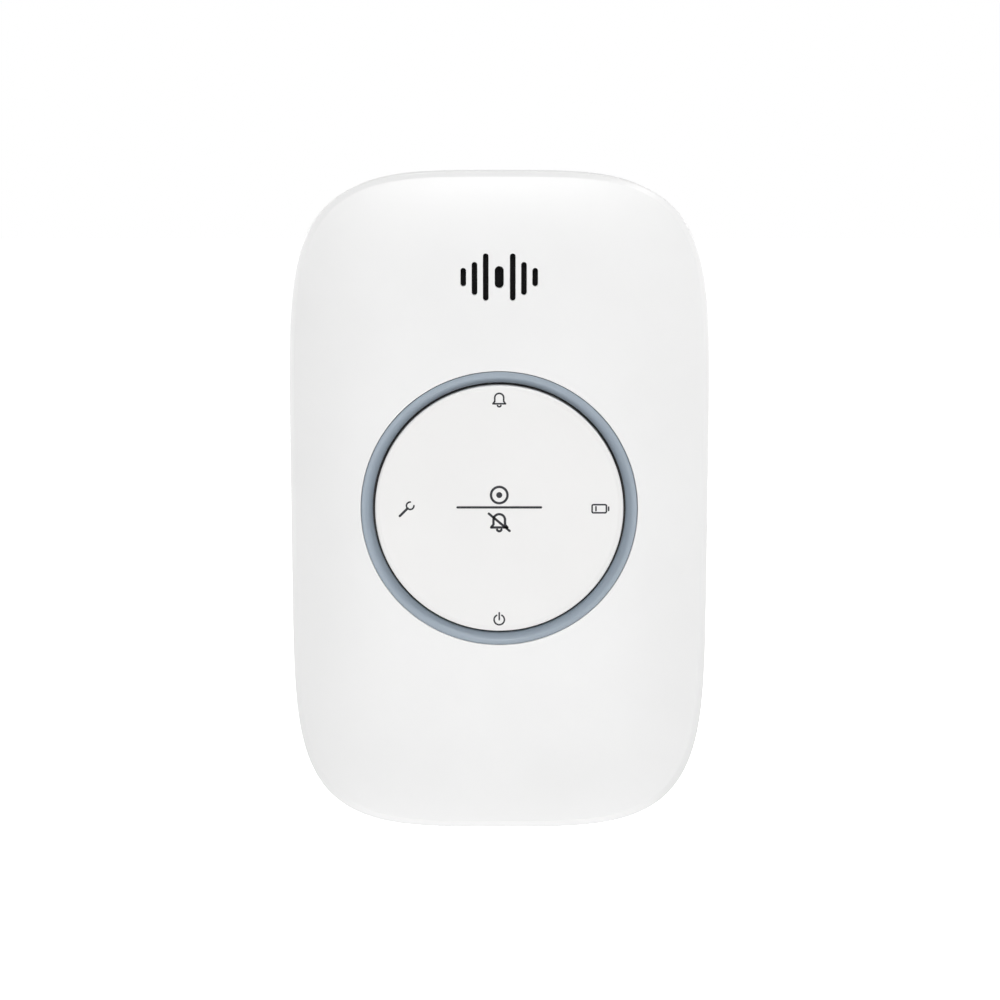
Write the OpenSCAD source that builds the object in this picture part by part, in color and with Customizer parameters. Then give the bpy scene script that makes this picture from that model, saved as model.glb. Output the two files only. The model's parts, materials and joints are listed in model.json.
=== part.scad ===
// Carbon monoxide detector: hangs on a wall plate, runs on two AA cells, and has a round
// test button inside a ring of light.
// The wall is the plane y = 0 and +Y points into it, so the front faces -Y. +Z is up.
// The origin is the point midway between the two wall screws. All sizes are millimetres.

/* [Housing] */
// Half of the front rim's width
half_w = 38.2; // [37:0.2:40]
// Half of the front rim's height
half_h = 60.7; // [60:0.1:63]
// Squareness of the outline across its width
side_power = 3.8; // [3.6:0.1:4.4]
// Squareness of the outline along its height
end_power = 5.8; // [5.4:0.1:6.6]
// Distance from the wall to the middle of the front face
depth = 34; // [34:0.1:34.4]
// Thickness of the housing's walls
wall = 2.2; // [2:0.1:2.4]
// How far the front face falls from its middle to its edge
crown = 2.1; // [1.6:0.1:2.2]
// How late that fall begins: a higher power keeps the middle flatter
crown_power = 6; // [5:1:8]
// Width of the bevel round the front face, seen from the front
bevel = 1.1; // [1:0.1:1.6]

/* [Light ring and button] */
// Radius of the round opening in the front cover
opening_r = 25.2; // [25.2:0.05:25.4]
// Radius of the light ring's bore
ring_inner_r = 23.2; // [23.15:0.05:23.3]
// Radius of the lip that its slope ends in, over the guide's rim
ring_lip_r = 22.95; // [22.9:0.05:23.1]
// Radius of the test button
button_r = 22.62; // [22.5:0.02:22.7]
// How far the button goes in
button_travel = 0.8; // [0.4:0.1:0.9]
// Number of coil springs under the button
spring_count = 3; // [3:1:4]

/* [Sound slots] */
// Height of the slots' middle above the button's centre
slot_z = 42.05; // [41:0.05:42.2]
// Width of the narrow slots
slot_w = 1; // [0.7:0.05:1.05]
// Step from one narrow slot to the next
slot_pitch = 2.01; // [1.9:0.01:2.1]
// Step from the middle slot to its neighbours
middle_pitch = 2.42; // [2.3:0.02:2.6]
// Width of the middle slot
middle_slot_w = 1.6; // [1.2:0.1:1.7]
// Length of the middle slot
middle_slot_h = 3.95; // [3:0.05:5]

/* [Batteries] */
// Radius of an AA cell
cell_r = 7.25; // [7:0.05:7.25]
// Length of an AA cell without its button
cell_len = 49.2; // [48:0.1:49.2]
// Largest angle that the battery door opens to, in degrees
door_open = 80; // [40:5:90]

/* [Wall plate] */
// Thickness of the wall plate
plate_t = 2.4; // [2:0.1:2.4]
// Distance between the two wall screws
screw_spacing = 90; // [88:1:91]
// Radius of a wall screw's hole
screw_hole_r = 2.2; // [1.8:0.1:2.4]
// How far the detector lifts before it comes off the plate's hooks
lift = 5; // [4.5:0.1:5]

/* [Hidden] */

fine = 48;                       // facets of a drawn circle
over = 1;                        // how far a cut runs past a face
slip = 0.1;                      // gap between rigid pieces that only touch

// Depths, from the wall towards the front
case_back_y = -0.5;              // back rim of the rear case
recess_y = -3.2;                 // floor that the wall plate lies against
case_floor_t = 2;                // thickness of that floor
case_floor_y = recess_y - case_floor_t;
parting_y = -13;                 // where rear case and front cover meet
parting_gap = 0.2;               // half of the shadow line between them
pcb_t = 1.6;
pcb_front_y = -22.8;
pcb_back_y = pcb_front_y + pcb_t;
guide_base_front_y = -26.4;      // guide's base, between the springs and the circuit board
guide_base_back_y = -25.2;
front_y = -depth;
inner_front_y = front_y + wall;

// Housing
draft = 0.35;                    // how much wider the cover is at the parting line
rim_y = front_y + crown + 0.7;   // outer edge of the bevel
rear_step = 0.1;                 // the rear case stands in from the rim by this much
rear_taper = 1.5;                // and by this much more at its back
quadrant = 14;                   // points in a quarter of the outline
crown_steps = [1, 0.97, 0.93, 0.88, 0.82, 0.75, 0.66, 0.54, 0.4];

// Fastening
boss_x = 25.5;
boss_z = 44.5;
boss_r = 3.2;
pilot_r = 1.25;                  // bore that a case screw cuts its thread in
post_r = 3.6;
screw_r = 1.2;
case_head_r = 2.5;
counterbore_y = -9;              // shoulder under a case screw's head
guide_screw_xz = 21.2;
guide_boss_r = 2.4;
guide_pilot_r = 0.9;

// Sounder
collar_r = 8.6;                  // inside of the duct behind the slots
collar_t = 1.6;
collar_y = -30.2;                // where the duct ends
sounder_r = 14;
sounder_front_y = -29.2;
sounder_wall = 1.4;
sounder_pin_x = 5;
piezo_y = -26;

// Battery bay
cell_x = 7.75;
cell_y = -12.2;
nub_r = 2.75;
nub_h = 1.3;
bay_w = 15.4;                    // half width inside
bay_low_z = -27.5;
bay_high_z = 29.5;
bay_front_y = -19.7;
bay_wall = 1.2;
contact_t = 0.4;
tab_w = 2;

// Battery door and its frame in the rear case
door_w = 16.5;
door_t = 1.6;
door_y = -4.85;                  // inner face
door_low_z = -28.7;
hinge_z = 30.2;
hinge_y = door_y + door_t / 2;
hinge_r = 0.8;
hinge_pin_len = 1.3;
door_frame_w = 18.8;
door_frame_y = -6.5;

// Wall plate
plate_w = 30.6;
plate_h = 51.2;
plate_rise = lift / 2;           // the plate's centre above the origin
recess_w = 31.6;
recess_h = plate_h + plate_rise + 0.4;
window_w = 19;
window_low_z = -31;
window_high_z = 41;
hook_x = 25;
hook_w = 5;
hook_low_z = [33, -24];          // undersides of the upper and lower hooks
hook_stem = 2;
hook_lip = 6;

// Sensor, switch and springs
sensor_z = -42;
sensor_r = 8;
sensor_back_y = -7.8;
sensor_cap_t = 3.2;
sensor_pin_r = 0.5;
sensor_pins_xz = [[0, 5], [-4.3, -2.5], [4.3, -2.5]];
switch_w = 6;
switch_front_y = -26.2;
plunger_r = 1.75;
plunger_tip_y = -28.5;
button_under_y = -31.9;
spring_ring_r = 16.5;
spring_r = 2.2;
spring_wire = 0.25;
led_ring_r = 24.2;

// ---------------------------------------------------------------- shapes

// A quarter of the outline is spaced by a cosine, so that its corner gets the most points.
function quarter_angle(i) = 45 * (1 - cos(180 * i / quadrant));
outline_angles = [for (q = [0:3]) for (i = [0:quadrant - 1])
    q % 2 == 0 ? 90 * q + quarter_angle(i) : 90 * (q + 1) - quarter_angle(quadrant - i)];

function signed_pow(v, p) = sign(v) * pow(abs(v), p);

// Points of the housing's squared oval, w and h being its half width and half height.
function squared_oval(w, h) = [for (t = outline_angles)
    [w * signed_pow(cos(t), 2 / side_power), h * signed_pow(sin(t), 2 / end_power)]];

// One closed ring of the housing's skin: the front rim's outline moved in by inset.
function skin_ring(inset, y, s = 1) =
    [for (p = squared_oval(s * (half_w - inset), s * (half_h - inset))) [p[0], y, p[1]]];

// The crowned front face, as rings that shrink towards its middle.
function crown_rings(inset, middle_y) =
    [for (s = crown_steps) skin_ring(inset, middle_y + crown * pow(s, crown_power), s)];

function rounded_box(w, h, r, k = 5) = [for (c = [[1, 1, 0], [-1, 1, 90], [-1, -1, 180], [1, -1, 270]])
    for (i = [0:k]) [c[0] * (w / 2 - r) + r * cos(c[2] + 90 * i / k),
                     c[1] * (h / 2 - r) + r * sin(c[2] + 90 * i / k)]];

// A closed skin through rings of equal length, the first at the back and the last in front.
module skin(rings) {
    n = len(rings[0]);
    last = len(rings) - 1;
    points = [for (ring = rings) for (p = ring) p];
    sides = [for (j = [0:last - 1]) for (i = [0:n - 1]) let (k = (i + 1) % n)
        each [[(j + 1) * n + i, (j + 1) * n + k, j * n + k], [(j + 1) * n + i, j * n + k, j * n + i]]];
    back = [for (i = [0:n - 1]) i];
    front = [for (i = [0:n - 1]) last * n + n - 1 - i];
    polyhedron(points, concat([back], sides, [front]));
}

// Extrudes an outline drawn in x and z from y0 to y1, with y0 nearer the front.
module along_y(y0, y1) {
    translate([0, y1, 0]) rotate([90, 0, 0]) linear_extrude(y1 - y0) children();
}

module rod_y(x, z, y0, y1, r) {
    translate([x, y0, z]) rotate([-90, 0, 0]) cylinder(h = y1 - y0, r = r, $fn = fine);
}

module rod_x(x0, x1, y, z, r) {
    translate([x0, y, z]) rotate([0, 90, 0]) cylinder(h = x1 - x0, r = r, $fn = fine);
}

module rod_z(x, y, z0, z1, r) {
    translate([x, y, z0]) cylinder(h = z1 - z0, r = r, $fn = fine);
}

module block(x, y, z) {
    translate([x[0], y[0], z[0]]) cube([x[1] - x[0], y[1] - y[0], z[1] - z[0]]);
}

// Turns a profile of [radius, y] points about the button's axis.
module turned(profile) {
    rotate([-90, 0, 0]) rotate_extrude($fn = 2 * fine) polygon(profile);
}

// A slot with round ends, cut along Y.
module slot_y(x, z, w, h, y0, y1) {
    block([x - w / 2, x + w / 2], [y0, y1], [z - (h - w) / 2, z + (h - w) / 2]);
    for (side = [-1, 1]) rod_y(x, z + side * (h - w) / 2, y0, y1, w / 2);
}

// Copies the children to the four places (+-x, +-z).
module four(x, z) {
    for (sx = [-1, 1]) for (sz = [-1, 1]) translate([sx * x, 0, sz * z]) children();
}

// Turns the children about the button's axis, n times round.
module around(n, start = 0) {
    for (i = [0:n - 1]) rotate([0, start + 360 * i / n, 0]) children();
}

// A coil of round wire along +Z, from radius r0 to radius r1.
module coil(r0, r1, length, turns, wire, steps = 14, sides = 6) {
    n = turns * steps;
    points = [for (i = [0:n]) let (a = 360 * i / steps, r = r0 + (r1 - r0) * i / n)
        for (k = [0:sides - 1]) let (b = 360 * k / sides, d = r + wire * cos(b))
            [d * cos(a), d * sin(a), wire + (length - 2 * wire) * i / n + wire * sin(b)]];
    walls = [for (i = [0:n - 1]) for (k = [0:sides - 1]) let (m = (k + 1) % sides)
        each [[i * sides + k, i * sides + m, (i + 1) * sides + m],
              [i * sides + k, (i + 1) * sides + m, (i + 1) * sides + k]]];
    start = [for (k = [0:sides - 1]) sides - 1 - k];
    end = [for (k = [0:sides - 1]) n * sides + k];
    polyhedron(points, concat([start], walls, [end]));
}

// A pan-head screw that drives towards -Y, with its head's seat at y.
module screw(seat_y, length, head_r, head_h, shank_r) {
    difference() {
        rod_y(0, 0, seat_y, seat_y + head_h, head_r);
        for (turn = [0, 90]) rotate([0, turn, 0])
            block([-head_r * 0.6, head_r * 0.6], [seat_y + head_h / 2, seat_y + head_h + over],
                  [-head_r * 0.14, head_r * 0.14]);
    }
    rod_y(0, 0, seat_y - length, seat_y, shank_r);
}

// ---------------------------------------------------------------- wall plate

module plate_hook(low_z) {
    block([-hook_w / 2, hook_w / 2], [-7.2, -plate_t], [low_z, low_z + hook_stem]);
    block([-hook_w / 2, hook_w / 2], [-7.2, -5.6], [low_z, low_z + hook_lip]);
}

module wall_plate() {
    color("white") {
        difference() {
            along_y(-plate_t, 0) translate([0, plate_rise]) polygon(squared_oval(plate_w, plate_h));
            translate([0, 0, (window_low_z + window_high_z) / 2]) along_y(-plate_t - over, over)
                polygon(rounded_box(2 * window_w, window_high_z - window_low_z, 3));
            for (side = [-1, 1]) {
                z = side * screw_spacing / 2;
                rod_y(0, z, -plate_t - over, over, screw_hole_r);
                translate([0, -plate_t, z]) rotate([-90, 0, 0])
                    cylinder(h = 1.5, r1 = screw_hole_r + 1.5, r2 = screw_hole_r, $fn = fine);
            }
        }
        for (side = [-1, 1]) for (z = hook_low_z) translate([side * hook_x, 0, 0]) plate_hook(z);
    }
}

// ---------------------------------------------------------------- rear case

module rear_shell() {
    difference() {
        skin([skin_ring(rear_step + rear_taper + 1, case_back_y),
              skin_ring(rear_step + rear_taper + 0.3, case_back_y - 0.35),
              skin_ring(rear_step + rear_taper, case_back_y - 1.1),
              skin_ring(rear_step, parting_y + parting_gap)]);
        skin([skin_ring(rear_step + rear_taper + wall, case_floor_y),
              skin_ring(rear_step + wall, parting_y - over)]);
        along_y(recess_y, over) polygon(squared_oval(recess_w, recess_h));
    }
}

// The lip that stands inside the front cover's wall.
module rear_lip() {
    difference() {
        along_y(parting_y - 2, parting_y + 2) polygon(squared_oval(half_w - wall - 0.05,
            half_h - wall - 0.05));
        along_y(parting_y - 3, parting_y + 3) polygon(squared_oval(half_w - wall - 1.3,
            half_h - wall - 1.3));
    }
}

module battery_bay() {
    outer_w = bay_w + bay_wall;
    block([-outer_w, outer_w], [bay_front_y - bay_wall, case_floor_y + 0.5],
          [bay_low_z - bay_wall, bay_high_z + bay_wall]);
    block([-door_frame_w, door_frame_w], [door_frame_y, recess_y],
          [door_low_z - 2.1, hinge_z + hinge_r + 1.8]);
}

module battery_bay_cuts() {
    block([-bay_w, bay_w], [bay_front_y, over], [bay_low_z, bay_high_z]);
    block([-door_w - 0.2, door_w + 0.2], [door_y - 0.05, over], [door_low_z - 0.2,
        hinge_z + hinge_r + 0.2]);
    rod_x(-door_w - hinge_pin_len - 0.4, door_w + hinge_pin_len + 0.4, hinge_y, hinge_z, hinge_r + 0.05);
    for (side = [-1, 1]) contact_tab_slot(side * cell_x, bay_low_z);
}

module contact_tab_slot(x, low_z) {
    block([x - tab_w / 2 - 0.2, x + tab_w / 2 + 0.2], [pcb_front_y - over, bay_front_y + over],
          [low_z - slip, low_z + contact_t + slip]);
}

module rear_case() {
    color("white") difference() {
        union() {
            rear_shell();
            rear_lip();
            battery_bay();
            four(boss_x, boss_z) rod_y(0, 0, pcb_back_y, case_floor_y + 0.5, post_r);
        }
        battery_bay_cuts();
        four(boss_x, boss_z) {
            rod_y(0, 0, counterbore_y, over, case_head_r + 0.2);
            rod_y(0, 0, pcb_back_y - over, counterbore_y + over, screw_r + 0.4);
        }
        for (side = [-1, 1]) for (z = hook_low_z)
            block([side * hook_x - hook_w / 2 - 0.3, side * hook_x + hook_w / 2 + 0.3],
                  [case_floor_y - over, recess_y + over],
                  [z - lift - 0.4, z + hook_stem + 0.02]);
        for (i = [-4:4]) for (end = [-1, 1])
            block([3 * i - 0.6, 3 * i + 0.6], [-11.2, -5.6], end > 0 ? [half_h - 5.5,
                half_h + 1] : [-half_h - 1, -half_h + 5.5]);
    }
    // A rib between the cells.
    color("white") block([-0.4, 0.4], [bay_front_y - 0.2, bay_front_y + 2], [bay_low_z - 0.2,
        bay_high_z + 0.2]);
}

module battery_door() {
    color("white") {
        difference() {
            block([-door_w, door_w], [door_y, door_y + door_t], [door_low_z, hinge_z]);
            // Slits that free the latch's tongue.
            for (side = [-1, 1])
                block([side * 5 - 0.35, side * 5 + 0.35], [door_y - over, door_y + door_t + over],
                      [door_low_z - over, door_low_z + 9]);
        }
        rod_x(-door_w, door_w, hinge_y, hinge_z, hinge_r);
        rod_x(-door_w - hinge_pin_len, door_w + hinge_pin_len, hinge_y, hinge_z, hinge_r);
        // Thumb ridges on the tongue.
        for (i = [0:3]) block([-3.6, 3.6], [door_y + door_t - 0.1, door_y + door_t + 0.35],
                              [door_low_z + 1.4 + 1.7 * i, door_low_z + 2.1 + 1.7 * i]);
    }
}

module door_label() {
    color("gainsboro") translate([0, 0, 6]) along_y(door_y + door_t, door_y + door_t + 0.12)
        polygon(rounded_box(27, 34, 1.5));
}

// ---------------------------------------------------------------- front cover

module cover_shell() {
    difference() {
        skin(concat([skin_ring(-draft, parting_y - parting_gap), skin_ring(0, rim_y + 1),
                     skin_ring(0.12, rim_y + 0.45), skin_ring(0.45, rim_y)],
                    crown_rings(bevel, front_y)));
        skin(concat([skin_ring(wall - draft, parting_y + over), skin_ring(wall, rim_y + 1.5)],
                    crown_rings(wall + 0.9, inner_front_y)));
    }
}

module sound_slots() {
    y0 = front_y - over;
    y1 = inner_front_y + over;
    heights = [8.45, 5.9, 3.3];
    drops = [0, 0.25, 0];        // the second pair sits a little lower
    slot_y(0, slot_z, middle_slot_w, middle_slot_h, y0, y1);
    for (side = [-1, 1]) for (i = [0:2])
        slot_y(side * (middle_pitch + slot_pitch * i), slot_z - drops[i], slot_w, heights[i], y0, y1);
}

module front_cover() {
    color("whitesmoke") difference() {
        union() {
            cover_shell();
            four(boss_x, boss_z) rod_y(0, 0, inner_front_y + 0.2, pcb_front_y, boss_r);
            four(guide_screw_xz, guide_screw_xz) rod_y(0, 0, inner_front_y - 0.5, -28.4, guide_boss_r);
            rod_y(0, slot_z, inner_front_y - 0.4, collar_y, collar_r + collar_t);
        }
        rod_y(0, 0, front_y - over, parting_y, opening_r);
        rod_y(0, slot_z, inner_front_y, collar_y + over, collar_r);
        sound_slots();
        four(boss_x, boss_z) rod_y(0, 0, -29.2, pcb_front_y + over, pilot_r);
        four(guide_screw_xz, guide_screw_xz) rod_y(0, 0, inner_front_y + 0.3, -28.4 + over, guide_pilot_r);
    }
}

module dust_mesh() {
    color("black") rod_y(0, slot_z, inner_front_y + 0.02, inner_front_y + 0.22, collar_r - slip);
}

module vent_mesh() {
    color("black") for (end = [-1, 1])
        block([-14, 14], [-12, -5.4], end > 0 ? [half_h - 4.3, half_h - 4.1] : [-half_h + 4.1,
            -half_h + 4.3]);
}

// ---------------------------------------------------------------- light ring and button

module light_ring() {
    flange_y = inner_front_y + 0.45;
    face_y = front_y + 0.35;
    color("lightslategray") turned([
        [ring_inner_r, guide_base_front_y - slip], [opening_r - 0.25, guide_base_front_y - slip],
        [opening_r - 0.25, -29.9], [27, -29.9], [27, flange_y], [opening_r - 0.1, flange_y],
        [opening_r - 0.1, face_y + 0.1], [opening_r - 0.2, face_y], [ring_lip_r + 1.35, face_y + 0.06],
        [ring_lip_r + 1.05, face_y + 0.2], [ring_lip_r + 0.7, face_y + 0.48],
        [ring_lip_r + 0.35, face_y + 0.9], [ring_lip_r, face_y + 1.5], [ring_lip_r, face_y + 1.65],
        [ring_inner_r, face_y + 1.8]]);
}

module button_leg() {
    block([19.4, 20.6], [button_under_y - 0.2, guide_base_back_y + 1.1], [-2.4, 2.4]);
    block([20.5, 21.4], [guide_base_back_y + slip, guide_base_back_y + 1.1], [-2.4, 2.4]);
}

module button_cap() {
    face_y = front_y + 0.4;
    crest_y = face_y - 0.08;
    skirt_y = -27.6;
    color("snow") {
        turned([
            [0, face_y], [21.7, face_y], [22, crest_y + 0.02], [22.2, crest_y],
            [22.44, crest_y + 0.06], [22.57, crest_y + 0.2], [button_r, crest_y + 0.4],
            [button_r, skirt_y], [21.3, skirt_y], [21.3, button_under_y], [0, button_under_y]]);
        rod_y(0, 0, button_under_y - 0.2, plunger_tip_y - 0.05, 2.2);
        around(3, 90) button_leg();
        around(spring_count, 30) rod_y(spring_ring_r, 0, button_under_y - 0.2, button_under_y + 1.4,
            spring_r - 0.75);
    }
}

// The black frame that guides the button and carries the light ring in a channel.
module button_guide() {
    color("black") difference() {
        union() {
            turned([
                [13.5, guide_base_back_y], [13.5, guide_base_front_y], [22.86, guide_base_front_y],
                [22.86, -31.6], [23.1, -31.6], [23.1, guide_base_front_y],
                [25.1, guide_base_front_y], [25.1, -29.8], [27.3, -29.8], [27.3, -28.4],
                [26.4, -28.4], [26.4, guide_base_back_y]]);
            four(guide_screw_xz, guide_screw_xz) rod_y(0, 0, -28.3, -26.8, 3.1);
            around(4, 45) block([25.5, 29], [-28.3, -26.8], [-2.4, 2.4]);
            around(spring_count, 30) rod_y(spring_ring_r, 0, guide_base_front_y - 1.2,
                guide_base_back_y, spring_r - 0.75);
        }
        four(guide_screw_xz, guide_screw_xz) {
            rod_y(0, 0, -30, -25, 1.3);
            rod_y(0, 0, -30.8, -28.3, guide_boss_r + 0.15);
        }
        // Windows for the button's legs and for the lamps.
        around(3, 90) block([19.1, 21.7], [guide_base_front_y - over, guide_base_back_y + over], [-2.8,
            2.8]);
        around(4) block([22.5, 25.8], [guide_base_front_y - 0.05, guide_base_back_y + over], [-2, 2]);
    }
}

module button_springs() {
    color("silver") around(spring_count, 30) translate([spring_ring_r, button_under_y, 0])
        rotate([-90, 0, 0]) coil(spring_r, spring_r, guide_base_front_y - button_under_y, 5, spring_wire);
}

module guide_screws() {
    color("silver") four(guide_screw_xz, guide_screw_xz) screw(-26.8, 4, 1.9, 1.3, 0.85);
}

module case_screws() {
    color("silver") four(boss_x, boss_z) screw(counterbore_y, 19.5, case_head_r, 1.9, screw_r);
}

// ---------------------------------------------------------------- sounder

module sounder_housing() {
    color("dimgray") translate([0, 0, slot_z]) difference() {
        rod_y(0, 0, sounder_front_y, pcb_front_y, sounder_r);
        // Front chamber, its mouth, and the cavity behind the disc.
        rod_y(0, 0, sounder_front_y + 1.2, piezo_y, sounder_r - sounder_wall - 0.4);
        rod_y(0, 0, sounder_front_y - over, sounder_front_y + 2, 3.2);
        rod_y(0, 0, piezo_y, piezo_y + 0.35, sounder_r - sounder_wall);
        rod_y(0, 0, piezo_y, pcb_front_y - 1.2, sounder_r - sounder_wall - 1.2);
        for (side = [-1, 1]) rod_y(side * sounder_pin_x, 0, pcb_front_y - 2, pcb_front_y + over, 0.4);
    }
}

module sounder_gasket() {
    color("black") translate([0, 0, slot_z]) difference() {
        rod_y(0, 0, collar_y, sounder_front_y, collar_r + collar_t);
        rod_y(0, 0, collar_y - over, sounder_front_y + over, collar_r - 0.6);
    }
}

module piezo_disc() {
    color("goldenrod") rod_y(0, slot_z, piezo_y + 0.05, piezo_y + 0.25, sounder_r - sounder_wall - 0.05);
}

module piezo_ceramic() {
    color("ghostwhite") rod_y(0, slot_z, piezo_y + 0.25, piezo_y + 0.45, 9);
}

module sounder_pins() {
    color("silver") for (side = [-1, 1])
        rod_y(side * sounder_pin_x, slot_z, pcb_front_y - 1.9, pcb_back_y + 1.2, 0.35);
}

// ---------------------------------------------------------------- circuit board

module main_pcb() {
    color("seagreen") difference() {
        along_y(pcb_front_y, pcb_back_y) polygon(squared_oval(half_w - 4.2, half_h - 4.2));
        four(boss_x, boss_z) rod_y(0, 0, pcb_front_y - over, pcb_back_y + over, screw_r + 0.35);
        for (side = [-1, 1]) {
            rod_y(side * sounder_pin_x, slot_z, pcb_front_y - over, pcb_back_y + over, 0.45);
            contact_tab_slot(side * cell_x, bay_low_z);
        }
        for (p = sensor_pins_xz)
            rod_y(p[0], sensor_z + p[1], pcb_front_y - over, pcb_back_y + over, sensor_pin_r + slip);
    }
}

module switch_body() {
    color("darkslategray") difference() {
        block([-switch_w / 2, switch_w / 2], [switch_front_y, pcb_front_y - 0.02], [-switch_w / 2,
            switch_w / 2]);
        rod_y(0, 0, switch_front_y - over, -23.3, plunger_r + slip);
    }
}

module switch_frame() {
    color("silver") difference() {
        block([-switch_w / 2, switch_w / 2], [switch_front_y - 0.3, switch_front_y], [-switch_w / 2,
            switch_w / 2]);
        rod_y(0, 0, switch_front_y - over, switch_front_y + over, plunger_r + slip);
    }
}

module switch_plunger() {
    color("black") rod_y(0, 0, plunger_tip_y, -23.3 - button_travel - slip, plunger_r);
}

module switch_pins() {
    color("silver") four(switch_w / 2 + 0.8, 2.2) block([-0.7, 0.7], [pcb_front_y - 0.4,
        pcb_front_y - 0.02], [-0.4, 0.4]);
}

// A lamp on the circuit board under the light ring, at an angle round the button.
module lamp(angle) {
    rotate([0, -angle, 0]) {
        block([led_ring_r - 1.4, led_ring_r + 1.4], [pcb_front_y - 0.9, pcb_front_y], [-1.7, 1.7]);
        rod_y(led_ring_r, 0, pcb_front_y - 1.2, pcb_front_y - 0.9, 1.1);
    }
}

module microcontroller() {
    color("black") block([-19, -9], [pcb_front_y - 1.4, pcb_front_y - 0.15], [-43, -33]);
    color("silver") for (side = [-1, 1]) for (i = [0:7]) {
        block([-18.1 + 1.14 * i - 0.2, -18.1 + 1.14 * i + 0.2], [pcb_front_y - 0.5, pcb_front_y],
              side > 0 ? [-33, -32] : [-44, -43]);
        block(side > 0 ? [-9, -8] : [-20, -19], [pcb_front_y - 0.5, pcb_front_y],
              [-42 + 1.14 * i - 0.2, -42 + 1.14 * i + 0.2]);
    }
}

module boost_coil() {
    color("dimgray") translate([-22, 0, 35]) {
        rod_y(0, 0, pcb_front_y - 5, pcb_front_y - 4.2, 3.9);
        rod_y(0, 0, pcb_front_y - 4.2, pcb_front_y - 1, 2.9);
        rod_y(0, 0, pcb_front_y - 1, pcb_front_y, 3.9);
    }
}

module capacitor() {
    color("slategray") translate([14, 0, -41]) {
        rod_y(0, 0, pcb_front_y - 7, pcb_front_y - 2.2, 3.15);
        rod_y(0, 0, pcb_front_y - 2.2, pcb_front_y - 1.6, 2.9);
        rod_y(0, 0, pcb_front_y - 1.6, pcb_front_y - 0.8, 3.15);
        block([-3.3, 3.3], [pcb_front_y - 0.8, pcb_front_y], [-3.3, 3.3]);
    }
}

module chip_parts() {
    rows = [[-2, -36, 4], [-2, -39, 4], [-2, -46, 5], [22, -34, 2], [17, 33, 4], [21, 37, 2], [-30, 8,
        1], [28, -6, 1]];
    color("saddlebrown") for (r = rows) for (i = [0:r[2] - 1])
        block([r[0] + 2.4 * i, r[0] + 2.4 * i + 1.6], [pcb_front_y - 0.6, pcb_front_y], [r[1], r[1] + 0.8]);
}

// ---------------------------------------------------------------- gas sensor

module sensor_can() {
    color("silver") rod_y(0, sensor_z, pcb_back_y, sensor_back_y - sensor_cap_t, sensor_r);
}

module sensor_cap() {
    color("gray") translate([0, 0, sensor_z]) difference() {
        union() {
            rod_y(0, 0, sensor_back_y - sensor_cap_t, sensor_back_y - 0.6, sensor_r - 0.5);
            rod_y(0, 0, sensor_back_y - 0.6, sensor_back_y, sensor_r - 1.1);
        }
        rod_y(0, 0, sensor_back_y - 1, sensor_back_y + over, 1.6);
    }
}

module sensor_pins() {
    color("goldenrod") for (p = sensor_pins_xz)
        rod_y(p[0], sensor_z + p[1], pcb_front_y - 1, pcb_back_y, sensor_pin_r);
}

// ---------------------------------------------------------------- batteries and contacts

// An AA cell that starts at low_z, with its button at the top if up is 1 and at the bottom if -1.
module cell(x, low_z, up) {
    nub_low = up > 0 ? low_z + cell_len : low_z - nub_h;
    rod_z(x, cell_y, low_z, low_z + cell_len, cell_r);
    rod_z(x, cell_y, nub_low, nub_low + nub_h, nub_r);
}

module battery_left() {
    color("darkorange") cell(-cell_x, bay_low_z + contact_t + nub_h, -1);
}

module battery_right() {
    color("darkorange") cell(cell_x, bay_high_z - 0.1 - contact_t - nub_h - cell_len, 1);
}

module contact_link() {
    color("silver") block([-14, 14], [-17.5, -6.8], [bay_high_z - 0.1 - contact_t, bay_high_z - 0.1]);
}

// A contact plate at the bay's low end, with a tab that goes through the circuit board.
module low_contact(x) {
    block([x - 5.5, x + 5.5], [-17.5, -6.8], [bay_low_z + 0.02, bay_low_z + contact_t]);
    block([x - tab_w / 2, x + tab_w / 2], [pcb_front_y - 0.8, -17.5], [bay_low_z + 0.02,
        bay_low_z + contact_t]);
}

module positive_contact() {
    color("silver") low_contact(-cell_x);
}

module negative_contact() {
    color("silver") low_contact(cell_x);
}

module contact_springs() {
    left_top = bay_low_z + contact_t + nub_h + cell_len;
    right_low = bay_high_z - 0.1 - contact_t - nub_h - cell_len;
    color("silver") {
        translate([-cell_x, cell_y, left_top])
            coil(2.4, 4.4, bay_high_z - 0.1 - contact_t - left_top, 4, 0.3);
        translate([cell_x, cell_y, bay_low_z + contact_t])
            coil(4.4, 2.4, right_low - bay_low_z - contact_t, 4, 0.3);
    }
}

// ---------------------------------------------------------------- nodes

wall_plate();
rear_case();
battery_door();
door_label();
front_cover();
light_ring();
button_cap();
button_guide();
button_springs();
guide_screws();
case_screws();
dust_mesh();
vent_mesh();
sounder_housing();
sounder_gasket();
piezo_disc();
piezo_ceramic();
sounder_pins();
main_pcb();
switch_body();
switch_frame();
switch_plunger();
switch_pins();
color("tomato") lamp(90);  // alarm_led
color("orange") lamp(180);  // malfunction_led
color("gold") lamp(0);  // fault_led
color("limegreen") lamp(270);  // power_led
sensor_can();
sensor_cap();
sensor_pins();
battery_left();
battery_right();
contact_link();
positive_contact();
negative_contact();
contact_springs();
microcontroller();
boost_coil();
capacitor();
chip_parts();
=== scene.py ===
"""The looks of a wall-hung carbon monoxide detector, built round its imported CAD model.

The frame is the model's own: +Z up, the front faces -Y and the wall is the plane y = 0. Shapes are
worked out in millimetres and become metres when a mesh is made.
"""
import json
import math

import bmesh
import bpy
import numpy as np
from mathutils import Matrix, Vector, geometry


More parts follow.
